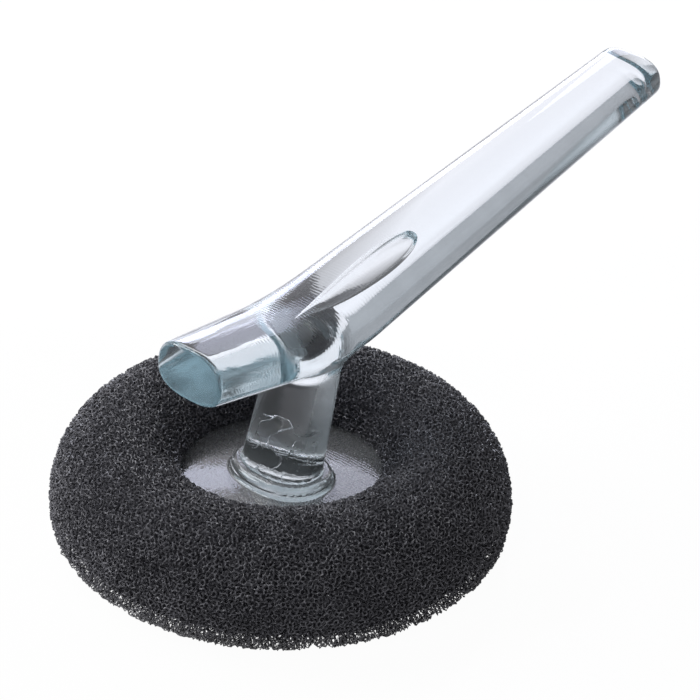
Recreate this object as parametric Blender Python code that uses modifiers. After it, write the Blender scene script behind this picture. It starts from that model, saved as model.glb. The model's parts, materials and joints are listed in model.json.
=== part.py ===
"""Bath scrubber: a black foam pad on a clear plate, with a clear slanting handle.

Run it with blender --background --python part.py, or from the text editor.
Lengths are metres and Z is up. The origin is the centre of the pad's flat
underside, and the long grip points along +X.
"""

import math

import bmesh
import bpy
from mathutils import Vector

# Foam pad
PAD_RADIUS = 0.070
PAD_HEIGHT = 0.036
PAD_WIDEST_HEIGHT = 0.013
PAD_CREST_RADIUS = 0.050
PAD_SHOULDER_POWER = 2.0
PAD_EDGE_POWER = 3.4
WELL_WALL_POWER = 1.8
MOUTH_RADIUS = 0.029
MOUTH_LIP_RADIUS = 0.0015

# Backing plate
PLATE_RADIUS = 0.049
PLATE_THICKNESS = 0.003
PLATE_TOP_HEIGHT = 0.0192
PLATE_EDGE_RADIUS = 0.001

# Pedestal and spigot moulded on the plate
PEDESTAL_LENGTH = 0.0256
PEDESTAL_WIDTH = 0.0332
PEDESTAL_HEIGHT = 0.0035
PEDESTAL_EDGE_RADIUS = 0.0016
SPIGOT_LENGTH = 0.0090
SPIGOT_WIDTH = 0.0160
SPIGOT_HEIGHT = 0.0120
SPIGOT_EDGE_RADIUS = 0.0010
OVAL_POWER = 2.3

# Handle bar: a short stub and a long grip that meet at the bend over the leg
BEND_X = 0.0080
BEND_HEIGHT = 0.0651
STUB_LENGTH = 0.0475
GRIP_LENGTH = 0.1595
STUB_TILT = math.radians(5.2)
GRIP_RISE = math.radians(14.3)
BEND_REACH = 0.024
STUB_END_WIDTH = 0.0260
STUB_END_THICKNESS = 0.0165
BEND_WIDTH = 0.0340
BEND_THICKNESS = 0.0185
GRIP_END_WIDTH = 0.0238
GRIP_END_THICKNESS = 0.0150
BAR_POWER = 2.6
STUB_EDGE_RADIUS = 0.0015
GRIP_EDGE_RADIUS = 0.0025

# Handle leg
LEG_LEAN = math.radians(15.5)
LEG_FOOT_LENGTH = 0.0194
LEG_FOOT_WIDTH = 0.0270
LEG_TOP_LENGTH = 0.0164
LEG_TOP_WIDTH = 0.0226
FOOT_FLARE = 0.0022
FOOT_FLARE_HEIGHT = 0.0065
LEG_FILLET_RADIUS = 0.0040

# Gap kept wherever two pieces touch
SEAT_GAP = 0.0003

# Mesh fineness
PAD_STEPS = 48
PLATE_STEPS = 72
BAR_SIDES = 48
LEG_SIDES = 40
MERGE_DISTANCE = 0.00001

# Heights that follow from the sizes above
PEDESTAL_TOP_HEIGHT = PLATE_TOP_HEIGHT + PEDESTAL_HEIGHT
FOOT_HEIGHT = PEDESTAL_TOP_HEIGHT + SEAT_GAP
SPIGOT_TOP_HEIGHT = PEDESTAL_TOP_HEIGHT + SPIGOT_HEIGHT


def clear_scene():
    """Remove every object that the file holds."""
    for old in list(bpy.data.objects):
        bpy.data.objects.remove(old, do_unlink=True)


def make_collection(name):
    """Return a new collection in the scene."""
    group = bpy.data.collections.new(name)
    bpy.context.scene.collection.children.link(group)
    return group


def principled(name, colour, roughness, transmission=0.0, ior=1.45):
    """Return a Principled material with no metal in it."""
    material = bpy.data.materials.new(name)
    material.use_nodes = True
    shader = material.node_tree.nodes["Principled BSDF"]
    shader.inputs["Base Color"].default_value = (*colour, 1.0)
    shader.inputs["Roughness"].default_value = roughness
    shader.inputs["Metallic"].default_value = 0.0
    shader.inputs["Transmission Weight"].default_value = transmission
    shader.inputs["IOR"].default_value = ior
    material.diffuse_color = (*colour, 1.0)
    return material


def clear_plastic(name):
    """Clear moulded plastic with a faint blue-green tint in its thickness."""
    return principled(name, (0.84, 0.92, 0.93), 0.02, transmission=1.0, ior=1.49)


def black_foam():
    """Open-cell foam, black and without shine."""
    return principled("black_foam", (0.035, 0.035, 0.038), 0.95)


def add_object(name, mesh, material, group):
    """Link a mesh as a named object and give it its material."""
    item = bpy.data.objects.new(name, mesh)
    group.objects.link(item)
    mesh.materials.append(material)
    return item


def apply_modifiers(item):
    """Turn the modifiers of an object into plain mesh."""
    graph = bpy.context.evaluated_depsgraph_get()
    finished = bpy.data.meshes.new_from_object(item.evaluated_get(graph))
    finished.name = item.name
    item.modifiers.clear()
    item.data = finished


def shade(item, sharp_degrees=35.0):
    """Shade the curved faces smooth and keep the real edges sharp."""
    item.data.shade_smooth()
    item.data.set_sharp_from_angle(angle=math.radians(sharp_degrees))


def turned_mesh(name, profile, steps, group):
    """Spin a closed profile of (radius, height) points round the Z axis."""
    mesh = bpy.data.meshes.new(name)
    count = len(profile)
    closing = [(i, i + 1) for i in range(count - 1)]
    mesh.from_pydata([(r, 0.0, z) for r, z in profile], closing, [])
    helper = bpy.data.objects.new(name + "_profile", mesh)
    group.objects.link(helper)
    screw = helper.modifiers.new("turn", "SCREW")
    screw.axis = "Z"
    screw.angle = math.tau
    screw.steps = steps
    screw.render_steps = steps
    screw.use_merge_vertices = True
    screw.merge_threshold = MERGE_DISTANCE
    screw.use_normal_calculate = True
    apply_modifiers(helper)
    turned = helper.data
    bpy.data.objects.remove(helper, do_unlink=True)
    return turned


def quarter(centre, reach_r, reach_z, power, count, skip_first=False):
    """Points of a rounded quarter that runs from level to upright.

    It starts reach_z above or below the centre and ends reach_r beside it.
    A power of 2 is an ellipse and a larger power is squarer.
    """
    points = []
    for i in range(1 if skip_first else 0, count + 1):
        turn = math.pi / 2 * i / count
        across = math.sin(turn) ** (2 / power)
        along = math.cos(turn) ** (2 / power)
        points.append((centre[0] + reach_r * across, centre[1] + reach_z * along))
    return points


def build_pad(group):
    """Foam ring over a full foam base, with a slit that takes the plate."""
    rim = PAD_RADIUS - PAD_CREST_RADIUS
    slit_roof = PLATE_TOP_HEIGHT + SEAT_GAP
    slit_floor = PLATE_TOP_HEIGHT - PLATE_THICKNESS - SEAT_GAP
    slit_radius = PLATE_RADIUS + SEAT_GAP
    lip = MOUTH_LIP_RADIUS
    wall_centre = (PAD_CREST_RADIUS, slit_roof + lip)
    wall = quarter(wall_centre, MOUTH_RADIUS - PAD_CREST_RADIUS,
                   PAD_HEIGHT - wall_centre[1], WELL_WALL_POWER, 7, skip_first=True)
    shoulder = quarter((PAD_CREST_RADIUS, PAD_WIDEST_HEIGHT), rim,
                       PAD_HEIGHT - PAD_WIDEST_HEIGHT, PAD_SHOULDER_POWER, 7)
    edge = quarter((PAD_CREST_RADIUS, PAD_WIDEST_HEIGHT), rim,
                   -PAD_WIDEST_HEIGHT, PAD_EDGE_POWER, 5)
    lip_turn = quarter((MOUTH_RADIUS + lip, slit_roof + lip), -lip, -lip, 2.0, 2)
    profile = [(0.0, slit_floor), (slit_radius, slit_floor), (slit_radius, slit_roof)]
    profile += lip_turn[:-1]
    profile += wall[::-1]
    profile += shoulder
    profile += edge[::-1][1:]
    profile += [(0.0, 0.0)]
    mesh = turned_mesh("foam_pad", profile, PAD_STEPS, group)
    pad = add_object("foam_pad", mesh, black_foam(), group)
    shade(pad, 50.0)
    return pad


def oval(length, width, count, power):
    """Points of a rounded oval outline, length along X and width along Y."""
    points = []
    for i in range(count):
        turn = math.tau * i / count
        c, s = math.cos(turn), math.sin(turn)
        x = length / 2 * math.copysign(abs(c) ** (2 / power), c)
        y = width / 2 * math.copysign(abs(s) ** (2 / power), s)
        points.append((x, y))
    return points


def skin_rings(name, rings):
    """Skin a stack of rings of equal count into one closed body."""
    bm = bmesh.new()
    rows = [[bm.verts.new(point) for point in ring] for ring in rings]
    for lower, upper in zip(rows, rows[1:]):
        for i, corner in enumerate(lower):
            j = (i + 1) % len(lower)
            bm.faces.new((corner, lower[j], upper[j], upper[i]))
    bm.faces.new(rows[0][::-1])
    bm.faces.new(rows[-1])
    bmesh.ops.recalc_face_normals(bm, faces=bm.faces)
    mesh = bpy.data.meshes.new(name)
    bm.to_mesh(mesh)
    bm.free()
    return mesh


def unite(target, tool_mesh, operation="UNION"):
    """Join a mesh to an object, or cut it out, and keep the result."""
    bench = make_collection(target.name + "_tools")
    tool = bpy.data.objects.new(target.name + "_tool", tool_mesh)
    bench.objects.link(tool)
    tool.hide_render = True
    tool.display_type = "WIRE"
    joint = target.modifiers.new("join", "BOOLEAN")
    joint.operation = operation
    joint.solver = "EXACT"
    joint.object = tool
    apply_modifiers(target)
    bpy.data.objects.remove(tool, do_unlink=True)
    bpy.data.collections.remove(bench)


def leg_centre(height):
    """X of the leaning leg's middle at a height; the foot is on the Z axis."""
    return (height - PEDESTAL_TOP_HEIGHT) * math.tan(LEG_LEAN)


def upright_stack(length, width, low, high, edge, count, sides):
    """Rings of a straight oval post whose top edge is rounded."""
    rings = [(length, width, low), (length, width, high - edge)]
    for i in range(1, count + 1):
        turn = math.pi / 2 * i / count
        inset = 2 * edge * (1 - math.cos(turn))
        rings.append((length - inset, width - inset, high - edge + edge * math.sin(turn)))
    return [(oval(a, b, sides, OVAL_POWER), z) for a, b, z in rings]


def spigot_rings(extra, low):
    """Rings of the leaning spigot, or of its socket when extra is the gap."""
    stack = upright_stack(SPIGOT_LENGTH + 2 * extra, SPIGOT_WIDTH + 2 * extra, low,
                          SPIGOT_TOP_HEIGHT + extra, SPIGOT_EDGE_RADIUS, 3, LEG_SIDES)
    return [[(x + leg_centre(z), y, z) for x, y in outline] for outline, z in stack]


def build_plate(group):
    """Round plate with an oval pedestal and the spigot that the leg sits on."""
    bottom = PLATE_TOP_HEIGHT - PLATE_THICKNESS
    edge = PLATE_EDGE_RADIUS
    inner = PLATE_RADIUS - edge
    top_round = quarter((inner, PLATE_TOP_HEIGHT - edge), edge, edge, 2.0, 3)
    bottom_round = quarter((inner, bottom + edge), edge, -edge, 2.0, 3)
    profile = [(0.0, PLATE_TOP_HEIGHT)] + top_round + bottom_round[::-1] + [(0.0, bottom)]
    mesh = turned_mesh("backing_plate", profile, PLATE_STEPS, group)
    plate = add_object("backing_plate", mesh, clear_plastic("clear_plate"), group)
    sunk = PLATE_TOP_HEIGHT - PLATE_THICKNESS / 2
    pedestal = upright_stack(PEDESTAL_LENGTH, PEDESTAL_WIDTH, sunk, PEDESTAL_TOP_HEIGHT,
                             PEDESTAL_EDGE_RADIUS, 4, LEG_SIDES)
    unite(plate, skin_rings("pedestal", [[(x, y, z) for x, y in ring] for ring, z in pedestal]))
    unite(plate, skin_rings("spigot", spigot_rings(0.0, PEDESTAL_TOP_HEIGHT - SPIGOT_EDGE_RADIUS)))
    shade(plate)
    return plate


def bar_stations():
    """Stations down the bar: x, z, width and thickness, with the bend rounded."""
    corner = Vector((BEND_X, BEND_HEIGHT, BEND_WIDTH, BEND_THICKNESS))
    stub_end = Vector((BEND_X - STUB_LENGTH * math.cos(STUB_TILT),
                       BEND_HEIGHT + STUB_LENGTH * math.sin(STUB_TILT),
                       STUB_END_WIDTH, STUB_END_THICKNESS))
    grip_end = Vector((BEND_X + GRIP_LENGTH * math.cos(GRIP_RISE),
                       BEND_HEIGHT + GRIP_LENGTH * math.sin(GRIP_RISE),
                       GRIP_END_WIDTH, GRIP_END_THICKNESS))
    bend_start = corner.lerp(stub_end, BEND_REACH / STUB_LENGTH)
    bend_end = corner.lerp(grip_end, BEND_REACH / GRIP_LENGTH)
    stations = [stub_end.lerp(bend_start, i / 4) for i in range(4)]
    for i in range(11):
        t = i / 10
        stations.append(bend_start.lerp(corner, t).lerp(corner.lerp(bend_end, t), t))
    stations += [bend_end.lerp(grip_end, i / 8) for i in range(1, 9)]
    return stations


def tangents(stations):
    """Unit direction in the XZ plane at each station."""
    found = []
    last = len(stations) - 1
    for i in range(last + 1):
        before = stations[max(i - 1, 0)]
        after = stations[min(i + 1, last)]
        found.append(Vector((after[0] - before[0], after[1] - before[1])).normalized())
    return found


def bar_ring(station, direction, shift, inset):
    """One oval section square to the bar, shifted along it and inset all round."""
    x = station[0] + direction[0] * shift
    z = station[1] + direction[1] * shift
    outline = oval(station[3] - 2 * inset, station[2] - 2 * inset, BAR_SIDES, BAR_POWER)
    return [(x - direction[1] * up, side, z + direction[0] * up) for up, side in outline]


def end_round(station, direction, radius, outward):
    """Rings that round an end of the bar, from its face to the straight side."""
    rings = []
    for i in range(4):
        turn = math.pi / 2 * i / 4
        shift = -outward * radius * (1 - math.cos(turn))
        rings.append(bar_ring(station, direction, shift, radius * (1 - math.sin(turn))))
    return rings


def build_bar_mesh(stations):
    """The whole bar, from the flat stub end to the flat grip end."""
    directions = tangents(stations)
    rings = end_round(stations[0], directions[0], STUB_EDGE_RADIUS, -1)
    rings.append(bar_ring(stations[0], directions[0], STUB_EDGE_RADIUS, 0.0))
    for station, direction in zip(stations[1:-1], directions[1:-1]):
        rings.append(bar_ring(station, direction, 0.0, 0.0))
    rings.append(bar_ring(stations[-1], directions[-1], -GRIP_EDGE_RADIUS, 0.0))
    rings += end_round(stations[-1], directions[-1], GRIP_EDGE_RADIUS, 1)[::-1]
    return skin_rings("handle", rings)


def bar_underside(stations, directions, x, y):
    """Height of the bar's lower face above a point."""
    previous = None
    for station, direction in zip(stations, directions):
        share = min(abs(y) / (station[2] / 2), 0.98)
        drop = station[3] / 2 * (1 - share ** BAR_POWER) ** (1 / BAR_POWER)
        here = (station[0] + direction[1] * drop, station[1] - direction[0] * drop)
        if previous and here[0] >= x:
            t = (x - previous[0]) / (here[0] - previous[0])
            return previous[1] + (here[1] - previous[1]) * t
        previous = here
    return previous[1]


def leg_wall(turn, height, grow):
    """Point on the leg's side at a height, moved outwards by grow."""
    rise = (height - FOOT_HEIGHT) / (BEND_HEIGHT - FOOT_HEIGHT)
    length = LEG_FOOT_LENGTH + (LEG_TOP_LENGTH - LEG_FOOT_LENGTH) * rise
    width = LEG_FOOT_WIDTH + (LEG_TOP_WIDTH - LEG_FOOT_WIDTH) * rise
    above_foot = max(0.0, 1 - (height - FOOT_HEIGHT) / FOOT_FLARE_HEIGHT)
    flare = FOOT_FLARE * above_foot ** 2
    c, s = math.cos(turn), math.sin(turn)
    half_x = length / 2 + flare + grow
    half_y = width / 2 + flare + grow
    x = leg_centre(height) + half_x * math.copysign(abs(c) ** (2 / OVAL_POWER), c)
    y = half_y * math.copysign(abs(s) ** (2 / OVAL_POWER), s)
    return x, y


def leg_rings(stations):
    """Rings of the leg from its foot to inside the bar, with a fillet on top."""
    directions = tangents(stations)
    turns = [math.tau * i / LEG_SIDES for i in range(LEG_SIDES)]
    radius = LEG_FILLET_RADIUS
    rooted = []
    for turn in turns:
        x, y = leg_wall(turn, BEND_HEIGHT - BEND_THICKNESS / 2 - radius, 0.0)
        rooted.append(bar_underside(stations, directions, x, y) - radius)
    rings = []
    for share in (0.0, 0.03, 0.07, 0.12, 0.18, 0.3, 0.45, 0.6, 0.75, 0.9):
        ring = []
        for turn, top in zip(turns, rooted):
            z = FOOT_HEIGHT + (top - FOOT_HEIGHT) * share
            ring.append((*leg_wall(turn, z, 0.0), z))
        rings.append(ring)
    for i in range(5):
        arc = math.pi / 2 * i / 5
        grow = radius * (1 - math.cos(arc))
        ring = []
        for turn, top in zip(turns, rooted):
            x, y = leg_wall(turn, top, grow)
            surface = bar_underside(stations, directions, x, y)
            ring.append((x, y, surface - radius * (1 - math.sin(arc))))
        rings.append(ring)
    inside = [(*leg_wall(turn, BEND_HEIGHT, 0.0), BEND_HEIGHT) for turn in turns]
    rings.append(inside)
    return rings


def build_handle(group):
    """Stub, grip and leg as one clear moulding, with the socket in the foot."""
    stations = bar_stations()
    handle = add_object("handle", build_bar_mesh(stations), clear_plastic("clear_handle"), group)
    unite(handle, skin_rings("leg", leg_rings(stations)))
    below_foot = PEDESTAL_TOP_HEIGHT - SPIGOT_EDGE_RADIUS
    unite(handle, skin_rings("socket", spigot_rings(SEAT_GAP, below_foot)), "DIFFERENCE")
    shade(handle)
    return handle


def main():
    clear_scene()
    scrubber = make_collection("bath_scrubber")
    pieces = [build_pad(scrubber), build_plate(scrubber), build_handle(scrubber)]
    for piece in pieces:
        piece.data.calc_loop_triangles()
        print(piece.name, len(piece.data.loop_triangles), "triangles")


main()
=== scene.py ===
# %% [markdown]
# A bath scrubber has three pieces: a ring of black open-cell foam, a clear plate
# in the foam's slit, and a clear solid handle that stands on the plate. The packed
# model fixes where each one is. This lesson gives them their looks.

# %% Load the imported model
import json
import math

import bmesh
import bpy
import numpy as np
from mathutils import Matrix, Vector
from mathutils import noise as blender_noise
from mathutils.geometry import delaunay_2d_cdt

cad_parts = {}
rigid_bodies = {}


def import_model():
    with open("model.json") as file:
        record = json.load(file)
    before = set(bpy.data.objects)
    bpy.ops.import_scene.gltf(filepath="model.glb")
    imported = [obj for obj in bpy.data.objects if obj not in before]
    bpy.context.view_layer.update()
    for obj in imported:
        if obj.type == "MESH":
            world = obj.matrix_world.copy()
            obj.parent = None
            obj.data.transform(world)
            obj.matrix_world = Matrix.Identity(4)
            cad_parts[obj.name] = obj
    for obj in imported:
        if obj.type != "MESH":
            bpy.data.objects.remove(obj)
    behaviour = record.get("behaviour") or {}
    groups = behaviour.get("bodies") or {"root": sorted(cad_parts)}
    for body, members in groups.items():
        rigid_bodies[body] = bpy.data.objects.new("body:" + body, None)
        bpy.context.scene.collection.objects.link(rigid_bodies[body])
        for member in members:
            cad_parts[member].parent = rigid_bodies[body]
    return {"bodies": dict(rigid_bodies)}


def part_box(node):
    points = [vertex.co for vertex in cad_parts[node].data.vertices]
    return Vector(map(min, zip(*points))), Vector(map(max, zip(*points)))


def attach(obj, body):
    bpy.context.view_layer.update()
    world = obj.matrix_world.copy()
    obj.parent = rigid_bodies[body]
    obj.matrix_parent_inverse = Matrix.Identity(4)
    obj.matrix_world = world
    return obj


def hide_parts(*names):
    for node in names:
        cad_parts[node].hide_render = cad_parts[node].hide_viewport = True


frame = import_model()
ROOT = next(iter(frame["bodies"]))
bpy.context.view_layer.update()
pad_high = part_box("foam_pad")[1]
plate_low, plate_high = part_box("backing_plate")

# %% [markdown]
# The camera stands where the photographer's did. Its place was found by fitting
# the outlines of the pad and the bar: a long lens, 0.7 m away, 30 degrees above
# the floor, and turned a little about its own axis.

# %% Camera
VIEW_DISTANCE = 0.700
VIEW_HEIGHT_ANGLE = math.radians(30.03)
VIEW_SIDE_ANGLE = math.radians(-48.1)
VIEW_ROLL = math.radians(2.42)
AIM_ACROSS = 0.0191
AIM_HEIGHT = 0.0629
LENS = 122.6
SENSOR = 36.0


def from_camera(across, away, height):
    """A place or a direction as the camera has it: to its right, away from it, and up."""
    return Matrix.Rotation(VIEW_SIDE_ANGLE, 3, "Z") @ Vector((across, away, height))


def place_camera():
    """Aim a long lens at the middle of the photograph's frame."""
    right = from_camera(1, 0, 0)
    away = from_camera(0, 1, 0)
    aim = right * AIM_ACROSS + Vector((0, 0, AIM_HEIGHT))
    back = Vector((0, 0, 1)) * math.sin(VIEW_HEIGHT_ANGLE) - away * math.cos(VIEW_HEIGHT_ANGLE)
    level_up = Vector((0, 0, 1)) * math.cos(VIEW_HEIGHT_ANGLE) + away * math.sin(VIEW_HEIGHT_ANGLE)
    side = right * math.cos(VIEW_ROLL) + level_up * math.sin(VIEW_ROLL)
    up = level_up * math.cos(VIEW_ROLL) - right * math.sin(VIEW_ROLL)
    axes = Matrix((side, up, back)).transposed().to_4x4()
    lens = bpy.data.cameras.new("photo_camera")
    lens.lens = LENS
    lens.sensor_width = SENSOR
    camera = bpy.data.objects.new("photo_camera", lens)
    camera.matrix_world = Matrix.Translation(aim + back * VIEW_DISTANCE) @ axes
    bpy.context.scene.collection.objects.link(camera)
    bpy.context.scene.camera = camera
    return camera


camera = place_camera()
bpy.context.scene.view_settings.view_transform = "Standard"
print("camera at", [round(v, 3) for v in camera.matrix_world.translation])

# %% [markdown]
# Reticulated foam is a net of thin struts round open cells about 1.4 mm wide. A
# bump map can't show daylight through the edge of the pad, so the net is real
# geometry: cells are scattered over the pad's form, joined up by a Delaunay
# triangulation, and each cell becomes a rounded hole in a thin net. Two nets at
# two depths and a dark heart inside them give the look of depth. It all starts from
# one outline, a section of the pad from its sole round to the mouth of the well.

# %% The pad's outline, turned round Z
PAD_RADIUS = pad_high.x
PAD_HEIGHT = pad_high.z
PAD_WIDEST_HEIGHT = 0.013
PAD_CREST_RADIUS = 0.050
PAD_SHOULDER_POWER = 2.0
PAD_EDGE_POWER = 3.4
WELL_WALL_POWER = 1.8
MOUTH_RADIUS = 0.0302
MOUTH_LIP_RADIUS = 0.0015
SEAT_GAP = 0.0003
PLATE_TOP_HEIGHT = 0.0192
SLIT_ROOF = PLATE_TOP_HEIGHT + SEAT_GAP
SLIT_FLOOR = plate_low.z - SEAT_GAP
CELL = 0.00145
INNERMOST = 1.2 * CELL
OUTLINE_STEP = 0.0002
SMOOTHED = 9


def quarter(centre, reach_r, reach_z, power, count):
    """A rounded quarter of an outline, from level to upright, as (radius, height)."""
    turn = np.linspace(0, math.pi / 2, count)
    radius = centre[0] + reach_r * np.sin(turn) ** (2 / power)
    height = centre[1] + reach_z * np.cos(turn) ** (2 / power)
    return np.stack([radius, height], 1)


def run_of(line):
    """Distance down a line to each of its points."""
    return np.r_[0, np.cumsum(np.hypot(*np.diff(line, axis=0).T))]


def at(stops, line, values):
    """Pairs of values read off at distances down a line."""
    run = run_of(line)
    return np.stack([np.interp(stops, run, values[:, 0]), np.interp(stops, run, values[:, 1])], 1)


def even(line):
    """The same line with points one outline step apart."""
    return at(np.arange(0, run_of(line)[-1], OUTLINE_STEP), line, line)


def outward(line):
    """Unit directions that point out of the foam along the outline, a little smoothed."""
    slope = np.gradient(line, axis=0)
    slope /= np.linalg.norm(slope, axis=1)[:, None]
    out = np.stack([slope[:, 1], -slope[:, 0]], 1)
    window = np.ones(SMOOTHED) / SMOOTHED
    padded = np.pad(out, ((SMOOTHED // 2, SMOOTHED // 2), (0, 0)), mode="edge")
    out = np.stack([np.convolve(padded[:, i], window, "valid") for i in (0, 1)], 1)
    return out / np.linalg.norm(out, axis=1)[:, None]


def pad_outline():
    """From the flat sole, up the outside, over the crest and down the well to the lip."""
    rim = PAD_RADIUS - PAD_CREST_RADIUS
    lip = MOUTH_LIP_RADIUS
    sole = np.array([[INNERMOST, 0.0]])
    edge = quarter((PAD_CREST_RADIUS, PAD_WIDEST_HEIGHT), rim, -PAD_WIDEST_HEIGHT, PAD_EDGE_POWER, 60)
    shoulder = quarter((PAD_CREST_RADIUS, PAD_WIDEST_HEIGHT), rim,
                       PAD_HEIGHT - PAD_WIDEST_HEIGHT, PAD_SHOULDER_POWER, 80)
    wall = quarter((PAD_CREST_RADIUS, SLIT_ROOF + lip), MOUTH_RADIUS - PAD_CREST_RADIUS,
                   PAD_HEIGHT - SLIT_ROOF - lip, WELL_WALL_POWER, 80)
    turn_in = quarter((MOUTH_RADIUS + lip, SLIT_ROOF + lip), -lip, -lip, 2.0, 10)
    under = np.array([[MOUTH_RADIUS + 3 * lip, SLIT_ROOF]])
    parts = [sole, edge, shoulder[::-1][1:], wall[1:], turn_in[::-1][1:], under]
    return even(np.concatenate(parts))


outline = pad_outline()
print("outline of", len(outline), "points, box", outline.min(0), outline.max(0))

# %% [markdown]
# Cut foam shows cells of nearly one size in no clear rows. Places drawn at random
# would clump, so the cells start in staggered rows round the turned form and each is
# then pushed by up to a third of the spacing. They are joined up on a flat map that
# keeps angles, so a well shaped triangle on the map is well shaped on the pad.

# %% Scatter the cells
ROW_SPACING = 0.87
CELL_SCATTER = 0.36
FEWEST_IN_ROW = 6
MAP_MARGIN = 0.12


def scatter_on_ring(line, seed):
    """Cell middles in staggered rows round the turned form: angle and place on the line."""
    rng = np.random.default_rng(seed)
    run = run_of(line)
    angles, places = [], []
    for row in np.arange(0, run[-1], CELL * ROW_SPACING):
        radius = np.interp(row, run, line[:, 0])
        count = max(FEWEST_IN_ROW, round(math.tau * radius / CELL))
        step = math.tau / count
        slots = (np.arange(count) + rng.random()) * step
        angles.append(slots + rng.uniform(-CELL_SCATTER, CELL_SCATTER, count) * step)
        places.append(row + rng.uniform(-CELL_SCATTER, CELL_SCATTER, count) * CELL * ROW_SPACING)
    angles = np.concatenate(angles)
    angles = (angles + math.pi) % math.tau - math.pi
    return angles, np.clip(np.concatenate(places), 0, run[-1])


def flat_map(line, places):
    """A map of the turned form that keeps shapes: height on it is the sum of step over radius."""
    steps = np.hypot(*np.diff(line, axis=0).T)
    middle = (line[1:, 0] + line[:-1, 0]) / 2
    return np.interp(places, run_of(line), np.r_[0, np.cumsum(steps / middle)])


def join_cells(angles, heights):
    """Delaunay triangles between cell middles, with the map's left and right edges joined."""
    flat = np.stack([angles, heights], 1)
    ids = np.arange(len(angles))
    left = angles > math.pi - MAP_MARGIN
    right = angles < MAP_MARGIN - math.pi
    flat = np.concatenate([flat, flat[left] - (math.tau, 0), flat[right] + (math.tau, 0)])
    ids = np.concatenate([ids, ids[left], ids[right]])
    found = delaunay_2d_cdt([tuple(p) for p in flat], [], [], 0, 1e-9, True)
    spots = np.array([tuple(p) for p in found[0]])
    back = np.array([origin[0] for origin in found[3]])
    corners = np.array([face for face in found[2] if len(face) == 3])
    centre = spots[corners][:, :, 0].mean(1)
    corners = corners[(centre >= -math.pi) & (centre < math.pi)]
    return ids[back[corners]]


# %% [markdown]
# Every triangle becomes a knot where three struts meet. Three hole corners stand
# round the knot, one towards each cell, and a strut runs between the hole corners of
# two neighbouring knots. Real struts lie at different depths, some hang loose and
# some are torn, so knots are scattered in depth and a share of the struts is left
# out. A spike under each knot stands for the strut that goes down into the foam.

# %% Turn the triangles into a net of struts
STRUT_HALF_WIDTH = 0.00015
STRUT_HALF_DEPTH = 0.00016
SPIKE_LENGTH = 0.0013
SPIKE_LEAN = 0.3
DEPTH_SCATTER = 0.00042
DEPTH_LIMITS = (-2, 1)
LOOSE_STRUTS = 0.16
LOOSE_SWAY = (-1.0, 0.4)
LOOSE_REACH = 0.0011
HOLE_INSET = 1.7
HOLE_SWING = (0.75, 1.45)
HOLE_SINK = 0.4
MOST_INSET = 0.42
BROKEN_STRUTS = 0.22


def unit(vectors):
    """The same directions, each one long."""
    return vectors / np.maximum(np.linalg.norm(vectors, axis=-1, keepdims=True), 1e-12)


def on_turned(line, out, angles, places):
    """Points and outward directions on a turned form."""
    radius, height = at(places, line, line).T
    out_r, out_z = at(places, line, out).T
    c, s = np.cos(angles), np.sin(angles)
    points = np.stack([radius * c, radius * s, height], 1)
    return points, np.stack([out_r * c, out_r * s, out_z], 1)


def net_corners(cells, out, triangles, rng):
    """Corners of the net: a top, a spike's tip and three hole corners for every knot."""
    count = len(triangles)
    knot_out = unit(out[triangles].mean(1))
    scatter = np.clip(rng.normal(0, 1, count), *DEPTH_LIMITS)[:, None] * DEPTH_SCATTER
    is_loose = (rng.random(count) < LOOSE_STRUTS)[:, None]
    loose = is_loose * rng.uniform(*LOOSE_SWAY, (count, 1)) * LOOSE_REACH
    knot = cells[triangles].mean(1) + knot_out * (scatter + loose)
    reach = cells[triangles] - knot[:, None]
    length = np.linalg.norm(reach, axis=2, keepdims=True)
    swing = rng.uniform(*HOLE_SWING, count)[:, None, None]
    inset = np.minimum(STRUT_HALF_WIDTH * HOLE_INSET * swing, length * MOST_INSET)
    holes = knot[:, None] + reach / length * inset - knot_out[:, None] * STRUT_HALF_DEPTH * HOLE_SINK
    sideways = np.cross(knot_out, unit(rng.normal(0, 1, knot.shape)))
    tips = knot - knot_out * SPIKE_LENGTH + sideways * CELL * SPIKE_LEAN
    tops = knot + knot_out * STRUT_HALF_DEPTH
    return np.concatenate([tops, tips, holes.reshape(-1, 3)])


def net_struts(triangles, rng):
    """Struts as rows: the knots at both ends, and the hole corners a and b beside each end.

    A few struts are left out, as where a cell wall tore when the foam was cut.
    """
    count = len(triangles)
    side = np.concatenate([triangles[:, [0, 1]], triangles[:, [1, 2]], triangles[:, [2, 0]]])
    owner = np.tile(np.arange(count), 3)
    corner = np.repeat([0, 1, 2], count)
    key = np.sort(side, axis=1)
    order = np.lexsort((key[:, 1], key[:, 0]))
    key, owner, corner = key[order], owner[order], corner[order]
    same = np.flatnonzero((key[1:] == key[:-1]).all(1))
    same = same[rng.random(len(same)) > BROKEN_STRUTS]
    one, two = same, same + 1
    hole = 2 * count + 3 * owner
    a, b = hole + corner, hole + (corner + 1) % 3
    paired = np.zeros(len(key), bool)
    paired[one] = paired[two] = True
    struts = np.stack([owner[one], owner[two], a[one], b[one], b[two], a[two]], 1)
    open_sides = np.stack([owner, a, b], 1)[~paired]
    return struts, open_sides


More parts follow.
